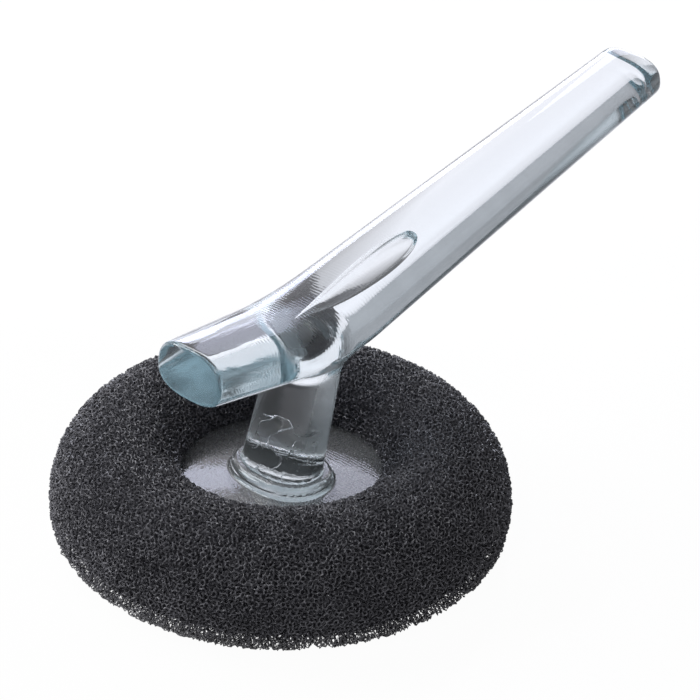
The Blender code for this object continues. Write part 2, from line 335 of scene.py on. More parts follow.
def net_piece(name, corners, struts, open_sides, knots, count):
    """One closed piece of the net: its knots, the struts that start there, and an end on each."""
    inside = np.isin(struts[:, 0], knots)
    own = struts[inside].copy()
    leaving = np.flatnonzero(~np.isin(own[:, 1], knots))
    far = own[leaving][:, [1, 4, 5]]
    own[np.ix_(leaving, [1, 4, 5])] = len(corners) + np.arange(far.size).reshape(far.shape)
    corners = np.concatenate([corners, corners[far.ravel()]])
    first, second, a1, b1, a2, b2 = own.T
    hole = 2 * count + 3 * knots
    tip = count + knots
    arriving = struts[~inside & np.isin(struts[:, 1], knots)]
    rows = [(first, second, b2), (first, b2, b1), (first, a1, a2), (first, a2, second),
            (a1, b1, b2), (a1, b2, a2),
            (hole + 1, hole, tip), (hole + 2, hole + 1, tip), (hole, hole + 2, tip)]
    faces = [np.stack(row, 1) for row in rows]
    faces.append(own[leaving][:, [5, 1, 4]])
    faces.append(arriving[:, [1, 5, 4]])
    faces.append(open_sides[np.isin(open_sides[:, 0], knots)])
    used, numbered = np.unique(np.concatenate(faces), return_inverse=True)
    mesh = bpy.data.meshes.new(name)
    mesh.from_pydata(corners[used].tolist(), [], numbered.reshape(-1, 3).tolist())
    return mesh


# %% [markdown]
# Every finish here is made of nodes, so it needs no pictures. Effects that more than
# one material uses are node groups: one gives the uneven tone of dusty foam, and one
# gives the faint haze and flow marks of clear moulded plastic.

# %% Node helpers
def new_group(name, inputs, outputs):
    """An empty node group that takes a place and numbers and puts out numbers."""
    group = bpy.data.node_groups.new(name, "ShaderNodeTree")
    group.interface.new_socket("Place", in_out="INPUT", socket_type="NodeSocketVector")
    for label in inputs:
        group.interface.new_socket(label, in_out="INPUT", socket_type="NodeSocketFloat")
    for label in outputs:
        group.interface.new_socket(label, in_out="OUTPUT", socket_type="NodeSocketFloat")
    given = group.nodes.new("NodeGroupInput")
    made = group.nodes.new("NodeGroupOutput")
    return group, given.outputs, made.inputs


def noise(tree, place, scale, detail=3.0, roughness=0.55):
    """A noise texture at a place, with a scale in waves a metre."""
    node = tree.nodes.new("ShaderNodeTexNoise")
    node.inputs["Scale"].default_value = scale
    node.inputs["Detail"].default_value = detail
    node.inputs["Roughness"].default_value = roughness
    tree.links.new(place, node.inputs["Vector"])
    return node.outputs["Fac"]


def remap(tree, value, low, high, to_low=0.0, to_high=1.0):
    """Stretch a value from one range to another, kept inside it."""
    node = tree.nodes.new("ShaderNodeMapRange")
    tree.links.new(value, node.inputs["Value"])
    ends = {"From Min": low, "From Max": high, "To Min": to_low, "To Max": to_high}
    for label, number in ends.items():
        if isinstance(number, (int, float)):
            node.inputs[label].default_value = number
        else:
            tree.links.new(number, node.inputs[label])
    return node.outputs["Result"]


def blend(tree, share, first, second):
    """Mix two colours by a value."""
    node = tree.nodes.new("ShaderNodeMix")
    node.data_type = "RGBA"
    tree.links.new(share, node.inputs["Factor"])
    for socket, colour in ((node.inputs["A"], first), (node.inputs["B"], second)):
        if isinstance(colour, tuple):
            socket.default_value = (*colour, 1.0)
        else:
            tree.links.new(colour, socket)
    return node.outputs["Result"]


def math_node(tree, operation, first, second):
    """One sum on two values."""
    node = tree.nodes.new("ShaderNodeMath")
    node.operation = operation
    for socket, value in zip(node.inputs, (first, second)):
        if isinstance(value, (int, float)):
            socket.default_value = value
        else:
            tree.links.new(value, socket)
    return node.outputs["Value"]


def times(tree, first, second):
    """Two values multiplied."""
    return math_node(tree, "MULTIPLY", first, second)


def plus(tree, first, second):
    """Two values added."""
    return math_node(tree, "ADD", first, second)


def larger(tree, first, second):
    """The larger of two values."""
    return math_node(tree, "MAXIMUM", first, second)


def unsigned(tree, value):
    """A value without its sign."""
    return math_node(tree, "ABSOLUTE", value, 0.0)


def along(tree, place, direction, shift=0.0):
    """Distance of each point along a direction, plus a shift."""
    node = tree.nodes.new("ShaderNodeVectorMath")
    node.operation = "DOT_PRODUCT"
    node.inputs[1].default_value = direction
    tree.links.new(place, node.inputs[0])
    return plus(tree, node.outputs["Value"], shift)


def new_material(name):
    """A material with its Principled shader and a place in object space."""
    material = bpy.data.materials.new(name)
    material.use_nodes = True
    tree = material.node_tree
    place = tree.nodes.new("ShaderNodeTexCoord").outputs["Object"]
    return material, tree, tree.nodes["Principled BSDF"], place


def use_group(tree, group, place, **values):
    """Place a shared effect in a material with its own values."""
    node = tree.nodes.new("ShaderNodeGroup")
    node.node_tree = group
    tree.links.new(place, node.inputs["Place"])
    for label, value in values.items():
        node.inputs[label.replace("_", " ")].default_value = value
    return node.outputs


def add_bump(tree, shader, height, distance, strength=1.0):
    """Feed a height to the shader as a small relief."""
    bump = tree.nodes.new("ShaderNodeBump")
    bump.inputs["Distance"].default_value = distance
    bump.inputs["Strength"].default_value = strength
    tree.links.new(height, bump.inputs["Height"])
    tree.links.new(bump.outputs["Normal"], shader.inputs["Normal"])


# %% [markdown]
# Black foam is carbon-coloured polyurethane. Its struts have a slight gloss, and they
# are never one even black: dye, dust and pale rubbed tips make them vary from strut to
# strut and from hand's breadth to hand's breadth. Pale dots on the struts are painted
# glints. Near the floor the struts are painted a lighter grey, which is painted light
# standing for the white floor shining up through the rim. Down in the well lies deep
# shade, which lamps over an open net don't give by themselves, so a mask paints shade
# on the struts there. One group works out all masks from a point's place alone, and
# the foam finishes agree wherever their pieces meet.

# %% How the foam's tone varies
UP = (0.0, 0.0, 1.0)
PATCH_SCALE = 60.0
STRUT_SCALE = 1500.0
# Scale of the noise that places the painted glints.
GLINT_SCALE = 2300.0
GRAIN_SCALE = 5200.0
PATCH_SHARE = 0.25
# Heights of the painted light low down, then radii of the painted shade in the well.
LIT_FROM_BELOW_HEIGHTS = (0.001, 0.009)
WELL_RADII = (0.034, 0.044)


def distance_from_axis(tree, place):
    """How far each point lies from the upright middle line of the pad."""
    level = tree.nodes.new("ShaderNodeVectorMath")
    level.operation = "MULTIPLY"
    level.inputs[1].default_value = (1.0, 1.0, 0.0)
    tree.links.new(place, level.inputs[0])
    radius = tree.nodes.new("ShaderNodeVectorMath")
    radius.operation = "LENGTH"
    tree.links.new(level.outputs["Vector"], radius.inputs[0])
    return radius.outputs["Value"]


def foam_tone_group():
    """Uneven tone of foam: patches, strut by strut change and grain, with painted glints, painted light
    low down and painted shade in the well.
    """
    group, given, made = new_group("foam_tone", [], ["Tone", "Glint", "Grain", "Lit_From_Below", "Well"])
    place = given["Place"]
    patch = noise(group, place, PATCH_SCALE)
    strut = noise(group, place, STRUT_SCALE, 2.0, 0.6)
    both = plus(group, times(group, patch, PATCH_SHARE), times(group, strut, 1 - PATCH_SHARE))
    # Painted glints: where this fine noise is high, pale dots stand for light caught by strut facets.
    glint_noise = noise(group, place, GLINT_SCALE, 1.0)
    masks = {
        "Tone": remap(group, both, 0.38, 0.66),
        "Glint": remap(group, glint_noise, 0.70, 0.74),
        "Grain": noise(group, place, GRAIN_SCALE, 2.0, 0.6),
        # Painted light: struts grow paler towards the floor, as if the white floor shone up through the
        # rim.
        "Lit_From_Below": remap(group, along(group, place, UP), *LIT_FROM_BELOW_HEIGHTS, 1.0, 0.0),
        # Painted shade: struts near the axis, down in the well, are marked for darkening.
        "Well": remap(group, distance_from_axis(group, place), *WELL_RADII, 1.0, 0.0),
    }
    for label, value in masks.items():
        group.links.new(value, made[label])
    return group


foam_tone = foam_tone_group()
print("foam masks", [socket.name for socket in foam_tone.interface.items_tree])

# %% Foam finishes
STRUT_DARK = (0.036, 0.036, 0.042)
STRUT_LIGHT = (0.215, 0.215, 0.237)
# Painted highlight: the colour of the glints on the struts.
STRUT_GLINT = (0.65, 0.65, 0.68)
# Painted light: the pale grey of the struts nearest the floor.
STRUT_LIT_FROM_BELOW = (0.36, 0.36, 0.37)
DEEP_DARK = (0.045, 0.045, 0.052)
DEEP_LIGHT = (0.190, 0.190, 0.210)
STRUT_GLOSS = 0.28
LIT_FROM_BELOW_SHARE = 0.6
# Painted shade: how far the struts in the well are darkened.
WELL_SHADE_SHARE = 0.75
GRAIN_DEPTH = 0.00004
# Painted shade: the dark colour in the middle of each cell of the heart.
HEART_PIT_SHADE = (0.040, 0.040, 0.050)
HEART_WALL_DARK = (0.09, 0.09, 0.11)
HEART_WALL_LIGHT = (0.20, 0.20, 0.23)
HEART_RELIEF = 0.0004


def foam_material(name, dark, light, glint_colour, roughness):
    """Struts between a dark and a light tone, with painted glints, painted light low down, painted
    shade in the well and a fine skin.
    """
    material, tree, shader, place = new_material(name)
    tone = use_group(tree, foam_tone, place)
    body = blend(tree, tone["Tone"], dark, light)
    # Painted shade: struts in the well are darkened towards the darkest strut tone.
    body = blend(tree, times(tree, tone["Well"], WELL_SHADE_SHARE), body, STRUT_DARK)
    # Painted light: the lowest struts are lightened towards a pale grey.
    lit_below = blend(tree, times(tree, tone["Lit_From_Below"], LIT_FROM_BELOW_SHARE), body, STRUT_LIT_FROM_BELOW)
    # Painted glints: pale dots laid over the struts.
    tree.links.new(blend(tree, tone["Glint"], lit_below, glint_colour), shader.inputs["Base Color"])
    rough = remap(tree, tone["Grain"], 0.3, 0.7, roughness - 0.1, roughness + 0.12)
    tree.links.new(rough, shader.inputs["Roughness"])
    shader.inputs["Specular IOR Level"].default_value = STRUT_GLOSS
    add_bump(tree, shader, tone["Grain"], GRAIN_DEPTH, 0.6)
    return material


def heart_material():
    """The foam's inside, seen through the nets: grey cell walls with painted shade in the middle of
    each cell.
    """
    material, tree, shader, place = new_material("foam_heart")
    tone = use_group(tree, foam_tone, place)
    cells = tree.nodes.new("ShaderNodeTexVoronoi")
    cells.feature = "DISTANCE_TO_EDGE"
    cells.inputs["Scale"].default_value = 1 / CELL
    tree.links.new(place, cells.inputs["Vector"])
    wall = remap(tree, cells.outputs["Distance"], 0.04, 0.16, 1.0, 0.0)
    grey = blend(tree, tone["Tone"], HEART_WALL_DARK, HEART_WALL_LIGHT)
    # Painted shade: each cell's middle is darker than its walls, as a deep hole would be.
    tree.links.new(blend(tree, wall, HEART_PIT_SHADE, grey), shader.inputs["Base Color"])
    shader.inputs["Roughness"].default_value = 0.9
    add_bump(tree, shader, wall, HEART_RELIEF)
    return material


strut_finish = foam_material("foam_struts", STRUT_DARK, STRUT_LIGHT, STRUT_GLINT, 0.30)
deep_finish = foam_material("foam_deep_struts", DEEP_DARK, DEEP_LIGHT, STRUT_LIGHT, 0.42)
heart_finish = heart_material()
print("foam finishes", strut_finish.name, deep_finish.name, heart_finish.name)

# %% [markdown]
# A foam pad has no skin: its surface is cells cut open, and round the lower rim bits
# have torn out. One net lies in the surface and one about a millimetre below it, and
# the deeper net thins out near the floor, so that daylight comes through the rim.
# Each net is made whole and then parted into sectors, which keeps every mesh small.

# %% Cover a form with a net
SOLE_CLEARANCE = 0.0001
LONGEST_SIDE = 2.2
RIM_START = 0.0615
RIM_STOPS = 110
RIM_NOTCH = 0.0056
RIM_NOTCH_POWER = 1.5


def add_piece(name, mesh, material):
    """Link a mesh as a named piece of the scrubber."""
    piece = bpy.data.objects.new(name, mesh)
    bpy.context.scene.collection.objects.link(piece)
    mesh.materials.append(material)
    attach(piece, ROOT)
    return piece


def turn_of(points):
    """Share of a whole turn round Z at which each point lies."""
    return (np.arctan2(points[:, 1], points[:, 0]) + math.pi) / math.tau


def rim_notches(points, rng):
    """Heights below which the foam's lower rim is torn away, by place round the pad."""
    depths = rng.random(RIM_STOPS + 1) ** RIM_NOTCH_POWER * RIM_NOTCH
    depths[-1] = depths[0]
    notch = np.interp(turn_of(points) * RIM_STOPS, np.arange(RIM_STOPS + 1), depths)
    return np.where(np.hypot(points[:, 0], points[:, 1]) > RIM_START, notch, 0.0)


def make_net(name, line, seed, pieces, material, thin=(0.0, 0.0)):
    """Cover a turned form with a net of struts, as a few pieces side by side.

    Between the two heights of thin, the lower a knot is, the likelier it's left out.
    """
    rng = np.random.default_rng(seed)
    out = outward(line)
    angles, places = scatter_on_ring(line, seed)
    triangles = join_cells(angles, flat_map(line, places))
    cells, cells_out = on_turned(line, out, angles, places)
    sides = cells[triangles] - cells[np.roll(triangles, 1, axis=1)]
    triangles = triangles[np.linalg.norm(sides, axis=2).max(1) < LONGEST_SIDE * CELL]
    middles = cells[triangles].mean(1)
    low_limit = np.maximum(rng.uniform(*thin, len(triangles)), rim_notches(middles, rng))
    triangles = triangles[middles[:, 2] >= low_limit]
    corners = net_corners(cells, cells_out, triangles, rng)
    corners[:, 2] = np.maximum(corners[:, 2], SOLE_CLEARANCE)
    struts, open_sides = net_struts(triangles, rng)
    count = len(triangles)
    sector = np.clip((turn_of(corners[:count]) * pieces).astype(int), 0, pieces - 1)
    made = []
    for i in range(pieces):
        knots = np.flatnonzero(sector == i)
        mesh = net_piece(f"{name}_{i + 1}", corners, struts, open_sides, knots, count)
        made.append(add_piece(f"{name}_{i + 1}", mesh, material))
    print(name, len(cells), "cells", len(struts), "struts in", len(made), "pieces")
    return made


# %% The nets over the pad
SKIN_DEPTH = 0.0003
DEEP_DEPTH = 0.0011
OPEN_EDGE = (0.0015, 0.0075)
SECTORS = 3

outline_out = outward(outline)
skin_line = even(outline - outline_out * SKIN_DEPTH)
deep_line = even(outline - outline_out * DEEP_DEPTH)
deep_line = deep_line[deep_line[:, 1] > OPEN_EDGE[0]]
skin_pieces = make_net("foam_skin", skin_line, 11, SECTORS, strut_finish)
deep_pieces = make_net("foam_deep", deep_line, 23, SECTORS, deep_finish, OPEN_EDGE)

# %% [markdown]
# Through the clear plate one looks down on the foam at the bottom of the slit. One
# flat net, a little wider than the well, is enough there, since the pad hides the rest.

# %% The foam that shows through the clear plate
FLOOR_NET_RADIUS = 0.036
FLOOR_NET_HEIGHT = SLIT_FLOOR - 0.0006

floor_ends = np.array([[FLOOR_NET_RADIUS, FLOOR_NET_HEIGHT], [INNERMOST, FLOOR_NET_HEIGHT]])
floor_pieces = make_net("foam_floor", even(floor_ends), 37, 1, strut_finish)

# %% [markdown]
# Behind the nets is the pad's heart, one turned body a few millimetres smaller than
# the pad. It has the same slit for the plate, and it stops light from passing
# through the middle of the pad, as a thick bed of real foam does.

# %% The heart of the pad
HEART_DEPTH = 0.0030
HEART_SOLE = 0.0016
HEART_EDGE_POWER = 2.8
HEART_WALL_DEPTH = 0.0064
DENT_DEPTH = 0.0030
DENT_LEVEL = 0.4
DENT_SCALE = 520.0
DENT_HEIGHTS = (0.005, 0.008)
HEART_STEPS = 420


def turned(name, profile, steps):
    """Spin a profile of (radius, height) points round Z into a closed body."""
    mesh = bpy.data.meshes.new(name)
    edges = [(i, i + 1) for i in range(len(profile) - 1)]
    mesh.from_pydata([(r, 0.0, z) for r, z in profile], edges, [])
    helper = bpy.data.objects.new(name, mesh)
    bpy.context.scene.collection.objects.link(helper)
    screw = helper.modifiers.new("turn", "SCREW")
    screw.steps = steps
    screw.render_steps = steps
    screw.use_merge_vertices = True
    screw.merge_threshold = 0.00001
    screw.use_normal_calculate = True
    graph = bpy.context.evaluated_depsgraph_get()
    finished = bpy.data.meshes.new_from_object(helper.evaluated_get(graph))
    bpy.data.objects.remove(helper)
    bpy.data.meshes.remove(mesh)
    finished.name = name
    work = bmesh.new()
    work.from_mesh(finished)
    bmesh.ops.recalc_face_normals(work, faces=work.faces)
    work.to_mesh(finished)
    work.free()
    finished.shade_smooth()
    return finished


def heart_profile():
    """Section of the heart: roof of the slit, inner wall, crest, side and flat sole."""
    rim = PAD_RADIUS - PAD_CREST_RADIUS
    crest = PAD_HEIGHT - HEART_DEPTH
    roof = SLIT_ROOF + HEART_SOLE
    floor = SLIT_FLOOR - HEART_SOLE
    back = plate_high.x + HEART_SOLE
    inner = MOUTH_RADIUS + HEART_WALL_DEPTH
    wall = quarter((PAD_CREST_RADIUS, roof), inner - PAD_CREST_RADIUS,
                   crest - roof, WELL_WALL_POWER, 24)
    shoulder = quarter((PAD_CREST_RADIUS, PAD_WIDEST_HEIGHT), rim - HEART_DEPTH,
                       crest - PAD_WIDEST_HEIGHT, PAD_SHOULDER_POWER, 24)
    edge = quarter((PAD_CREST_RADIUS, PAD_WIDEST_HEIGHT), rim - HEART_DEPTH,
                   HEART_SOLE - PAD_WIDEST_HEIGHT, HEART_EDGE_POWER, 36)
    parts = [[[0.0, floor], [back, floor], [back, roof]], wall[::-1], shoulder[1:], edge[::-1][1:],
             [[0.0, HEART_SOLE]]]
    return np.concatenate(parts).tolist()


def dented(mesh):
    """Dent the heart cell by cell where it nears the floor, so the rim lets light through."""
    normals = [corner.normal.copy() for corner in mesh.vertices]
    for corner, normal in zip(mesh.vertices, normals):
        outside = math.hypot(corner.co.x, corner.co.y) > PAD_CREST_RADIUS
        depth = min(blender_noise.noise(corner.co * DENT_SCALE) - DENT_LEVEL, 0.0)
        near_floor = np.interp(corner.co.z, DENT_HEIGHTS, (1.0, 0.0))
        if outside and corner.co.z > HEART_SOLE:
            corner.co += normal * depth * DENT_DEPTH * near_floor
    return mesh


heart_mesh = dented(turned("foam_heart", heart_profile(), HEART_STEPS))
heart = add_piece("foam_heart", heart_mesh, heart_finish)
foam_pieces = skin_pieces + deep_pieces + floor_pieces + [heart]
for piece in foam_pieces:
    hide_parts("foam_pad")
print("foam faces", sum(len(piece.data.polygons) for piece in foam_pieces))

# %% [markdown]
# The handle is one thick clear moulding: a short stub, a long grip and a leg. Clear
# plastic bends light at its skin, so every facet would show, and the mesh is fine and
# smooth. The bar is lofted through many oval sections that turn with the bend. A
# bevelled curve would be quicker, but its width and thickness can't change apart.

# %% Sections of the bar
BEND_X = 0.0080
BEND_HEIGHT = 0.0651
STUB_LENGTH = 0.0475
GRIP_LENGTH = 0.1595
STUB_TILT = math.radians(5.2)
GRIP_RISE = math.radians(14.3)
BEND_REACH = 0.017
STUB_END = (0.0260, 0.0165)
BEND_SECTION = (0.0340, 0.0185)
GRIP_END = (0.0238, 0.0150)
BAR_POWER = 2.6
STUB_EDGE_RADIUS = 0.0015
GRIP_EDGE_RADIUS = 0.0025
BAR_SIDES = 144


def bar_stations():
    """Stations down the bar as x, z, width and thickness, with the bend rounded."""
    corner = np.array([BEND_X, BEND_HEIGHT, *BEND_SECTION])
    stub_end = np.array([BEND_X - STUB_LENGTH * math.cos(STUB_TILT),
                         BEND_HEIGHT + STUB_LENGTH * math.sin(STUB_TILT), *STUB_END])
    grip_end = np.array([BEND_X + GRIP_LENGTH * math.cos(GRIP_RISE),
                         BEND_HEIGHT + GRIP_LENGTH * math.sin(GRIP_RISE), *GRIP_END])
    bend_start = corner + (stub_end - corner) * BEND_REACH / STUB_LENGTH
    bend_end = corner + (grip_end - corner) * BEND_REACH / GRIP_LENGTH
    stub = [stub_end + (bend_start - stub_end) * t for t in np.linspace(0, 1, 13)[:-1]]
    bend = []
    for t in np.linspace(0, 1, 31):
        lower = bend_start + (corner - bend_start) * t
        upper = corner + (bend_end - corner) * t
        bend.append(lower + (upper - lower) * t)
    grip = [bend_end + (grip_end - bend_end) * t for t in np.linspace(0, 1, 49)[1:]]
    return np.array(stub + bend + grip)


def directions_of(stations):
    """Unit direction in the XZ plane at each station."""
    slope = np.gradient(stations[:, :2], axis=0)
    slope[0] = stations[1, :2] - stations[0, :2]
    slope[-1] = stations[-1, :2] - stations[-2, :2]
    return unit(slope)


def oval(length, width, count, power):
    """Corners of a rounded oval, length along the first axis."""
    turn = np.arange(count) / count * math.tau
    c, s = np.cos(turn), np.sin(turn)
    first = length / 2 * np.sign(c) * np.abs(c) ** (2 / power)
    second = width / 2 * np.sign(s) * np.abs(s) ** (2 / power)
    return np.stack([first, second], 1)


def bar_ring(station, direction, shift, inset):
    """One oval section square to the bar, shifted along it and inset all round."""
    x, z = station[:2] + direction * shift
    up, side = oval(station[3] - 2 * inset, station[2] - 2 * inset, BAR_SIDES, BAR_POWER).T
    return np.stack([x - direction[1] * up, side, z + direction[0] * up], 1)


def end_rings(station, direction, radius, outward_sign):
    """Rings that round an end of the bar, from its face to the straight side."""
    rings = []
    for turn in np.linspace(0, math.pi / 2, 9)[:-1]:
        shift = -outward_sign * radius * (1 - math.cos(turn))
        rings.append(bar_ring(station, direction, shift, radius * (1 - math.sin(turn))))
    return rings


def skin(name, rings):
    """Skin a stack of rings of equal count into one closed body."""
    work = bmesh.new()
    rows = [[work.verts.new(point) for point in ring] for ring in rings]
    for lower, upper in zip(rows, rows[1:]):
        for i, corner in enumerate(lower):
            j = (i + 1) % len(lower)
            work.faces.new((corner, lower[j], upper[j], upper[i]))
    work.faces.new(rows[0][::-1])
    work.faces.new(rows[-1])
    bmesh.ops.recalc_face_normals(work, faces=work.faces)
    mesh = bpy.data.meshes.new(name)
    work.to_mesh(mesh)
    work.free()
    return mesh


stations = bar_stations()
directions = directions_of(stations)
bar_rings = end_rings(stations[0], directions[0], STUB_EDGE_RADIUS, -1)
bar_rings += [bar_ring(stations[0], directions[0], STUB_EDGE_RADIUS, 0.0)]
bar_rings += [bar_ring(s, d, 0.0, 0.0) for s, d in zip(stations[1:-1], directions[1:-1])]
bar_rings += [bar_ring(stations[-1], directions[-1], -GRIP_EDGE_RADIUS, 0.0)]
bar_rings += end_rings(stations[-1], directions[-1], GRIP_EDGE_RADIUS, 1)[::-1]
print("bar of", len(bar_rings), "rings")

# %% [markdown]
# The leg leans towards the grip and its foot spreads a little where it stands on the
# plate. Moulds need soft inner corners, so the leg widens into the bar by a fillet.
# The bar's belly is curved, so each fillet ring follows the belly's height above its
# own points. A level ring would cut into the bar on one side and miss it on the other.

# %% Sections of the leg
LEG_LEAN = math.radians(15.5)
LEG_FOOT = (0.0194, 0.0270)
LEG_TOP = (0.0164, 0.0226)
FOOT_FLARE = 0.0004
FOOT_FLARE_HEIGHT = 0.0020
LEG_FILLET_RADIUS = 0.0058
OVAL_POWER = 2.3
PEDESTAL_HEIGHT = 0.0035
PEDESTAL_TOP = PLATE_TOP_HEIGHT + PEDESTAL_HEIGHT
FOOT_HEIGHT = PEDESTAL_TOP + SEAT_GAP
LEG_SIDES = 120


def leg_centre(height):
    """X of the leaning leg's middle at a height; the foot is on the Z axis."""
    return (height - PEDESTAL_TOP) * math.tan(LEG_LEAN)


def bar_underside(x, y):
    """Height of the bar's lower face above each point."""
    heights = np.empty(len(x))
    for i, (px, py) in enumerate(zip(x, y)):
        share = np.minimum(abs(py) / (stations[:, 2] / 2), 0.98)
        drop = stations[:, 3] / 2 * (1 - share ** BAR_POWER) ** (1 / BAR_POWER)
        line_x = stations[:, 0] + directions[:, 1] * drop
        line_z = stations[:, 1] - directions[:, 0] * drop
        heights[i] = np.interp(px, line_x, line_z)
    return heights


def leg_wall(turns, heights, grow):
    """Points on the leg's side at given heights, moved outwards by grow."""
    rise = (heights - FOOT_HEIGHT) / (BEND_HEIGHT - FOOT_HEIGHT)
    length = LEG_FOOT[0] + (LEG_TOP[0] - LEG_FOOT[0]) * rise
    width = LEG_FOOT[1] + (LEG_TOP[1] - LEG_FOOT[1]) * rise
    above = np.maximum(0.0, 1 - (heights - FOOT_HEIGHT) / FOOT_FLARE_HEIGHT)
    flare = FOOT_FLARE * above ** 2
    c, s = np.cos(turns), np.sin(turns)
    x = leg_centre(heights) + (length / 2 + flare + grow) * np.sign(c) * np.abs(c) ** (2 / OVAL_POWER)
    y = (width / 2 + flare + grow) * np.sign(s) * np.abs(s) ** (2 / OVAL_POWER)
    return x, y


def leg_rings():
    """Rings of the leg from its foot to inside the bar, with a fillet on top."""
    turns = np.arange(LEG_SIDES) / LEG_SIDES * math.tau
    radius = LEG_FILLET_RADIUS
    x, y = leg_wall(turns, np.full(LEG_SIDES, BEND_HEIGHT - BEND_SECTION[1] / 2 - radius), 0.0)
    rooted = bar_underside(x, y) - radius
    rings = []
    for share in np.linspace(0, 1, 40)[:-1]:
        z = FOOT_HEIGHT + (rooted - FOOT_HEIGHT) * share
        rings.append(np.stack([*leg_wall(turns, z, 0.0), z], 1))
    for arc in np.linspace(0, math.pi / 2, 12)[:-1]:
        x, y = leg_wall(turns, rooted, radius * (1 - math.cos(arc)))
        rings.append(np.stack([x, y, bar_underside(x, y) - radius * (1 - math.sin(arc))], 1))
    inside = np.full(LEG_SIDES, BEND_HEIGHT)
    rings.append(np.stack([*leg_wall(turns, inside, 0.0), inside], 1))
    return rings


print("leg of", len(leg_rings()), "rings")

# %% [markdown]
# The leg is glued on a spigot that stands on the plate. The spigot and the socket in
# the foot share one set of rings, with the gap added for the socket, so the joint is
# equally thin all round when it is seen through the clear plastic. Booleans join the
# closed meshes, and the exact solver copes with walls that nearly touch.

# %% The spigot on the plate and its socket in the leg
SPIGOT = (0.0090, 0.0160, 0.0120)
SPIGOT_EDGE = 0.0010


def post(length, width, low, high, edge):
    """Rings of a straight oval post whose top edge is rounded."""
    rings = [(length, width, low), (length, width, high - edge)]
    for turn in np.linspace(0, math.pi / 2, 9)[1:]:
        inset = 2 * edge * (1 - math.cos(turn))
        rings.append((length - inset, width - inset, high - edge + edge * math.sin(turn)))
    return rings


def upright(rings, lean):
    """Place post rings round the Z axis, or along the leaning leg."""
    placed = []
    for length, width, z in rings:
        outline_xy = oval(length, width, LEG_SIDES, OVAL_POWER)
        x = outline_xy[:, 0] + (leg_centre(z) if lean else 0.0)
        placed.append(np.stack([x, outline_xy[:, 1], np.full(LEG_SIDES, z)], 1))
    return placed


def spigot_rings(extra):
    """Rings of the leaning spigot, or of its socket when extra is the gap."""
    low = PEDESTAL_TOP - SPIGOT_EDGE
    high = PEDESTAL_TOP + SPIGOT[2] + extra
    rings = post(SPIGOT[0] + 2 * extra, SPIGOT[1] + 2 * extra, low, high, SPIGOT_EDGE)
    return upright(rings, True)


def join(mesh, tool_mesh, operation):
    """Join one closed mesh to another, or cut it out."""
    target = bpy.data.objects.new("target", mesh)
    tool = bpy.data.objects.new("tool", tool_mesh)
    for helper in (target, tool):
        bpy.context.scene.collection.objects.link(helper)
    cut = target.modifiers.new("join", "BOOLEAN")
    cut.operation = operation
    cut.solver = "EXACT"
    cut.object = tool
    graph = bpy.context.evaluated_depsgraph_get()
    joined = bpy.data.meshes.new_from_object(target.evaluated_get(graph))
    for helper in (target, tool):
        bpy.data.objects.remove(helper)
    return joined


print("spigot of", len(spigot_rings(0.0)), "rings")

# %% [markdown]
# A thick moulding shrinks as it cools, and a long bubble can open inside it. This one
# is pointed at the bend and round at its far end, and it shows as a bright lens in the
# bar. It touches nothing, so no Boolean is needed: its wall is added to the handle's
# mesh with the faces turned over, so the hollow counts as outside the plastic.

# %% The void inside the bar
VOID_START = 0.003
VOID_END = 0.056
VOID_WIDTH = 0.0100
VOID_THICKNESS = 0.0060
VOID_POINT = 0.95
VOID_ROUND = 0.42
VOID_SIDES = 48
SHARP_ANGLE = math.radians(50)


def bar_axis(x):
    """Height of the bar's middle line at x."""
    return np.interp(x, stations[:, 0], stations[:, 1])


def void_rings():
    """Sections of the long bubble: pointed near the bend and round at its far end."""
    rings = []
    widest = VOID_POINT / (VOID_POINT + VOID_ROUND)
    most = widest ** VOID_POINT * (1 - widest) ** VOID_ROUND
    for share in 0.5 - 0.5 * np.cos(np.linspace(0.02, math.pi - 0.02, 50)):
        swell = share ** VOID_POINT * (1 - share) ** VOID_ROUND / most
        x = VOID_START + (VOID_END - VOID_START) * share
        up, side = oval(VOID_THICKNESS * swell, VOID_WIDTH * swell, VOID_SIDES, 2.0).T
        rings.append(np.stack([np.full(VOID_SIDES, x), side, bar_axis(x) + up], 1))
    return rings


def add_void(mesh):
    """Put the bubble's wall in the handle's mesh, facing into the bubble."""
    work = bmesh.new()
    work.from_mesh(mesh)
    before = len(work.faces)
    work.from_mesh(skin("void", void_rings()))
    work.faces.ensure_lookup_table()
    bmesh.ops.reverse_faces(work, faces=work.faces[before:])
    work.to_mesh(mesh)
    work.free()
    return mesh


handle_mesh = join(skin("handle", bar_rings), skin("leg", leg_rings()), "UNION")
handle_mesh = join(handle_mesh, skin("socket", spigot_rings(SEAT_GAP)), "DIFFERENCE")
handle_mesh = add_void(handle_mesh)
handle_mesh.shade_smooth()
handle_mesh.set_sharp_from_angle(angle=SHARP_ANGLE)
print("handle", len(handle_mesh.polygons), "faces")

# %% [markdown]
# Perfectly smooth plastic looks like optical glass, and a moulded handle doesn't. The
# flow of the plastic leaves long low waves, drawing it from the mould leaves lines up
# the leg, and a scraper left even marks round the bend. They are all less than a few
# hundredths of a millimetre high, too fine for a mesh, so one group adds their
# heights up for a bump and gives a cloudy roughness with them.

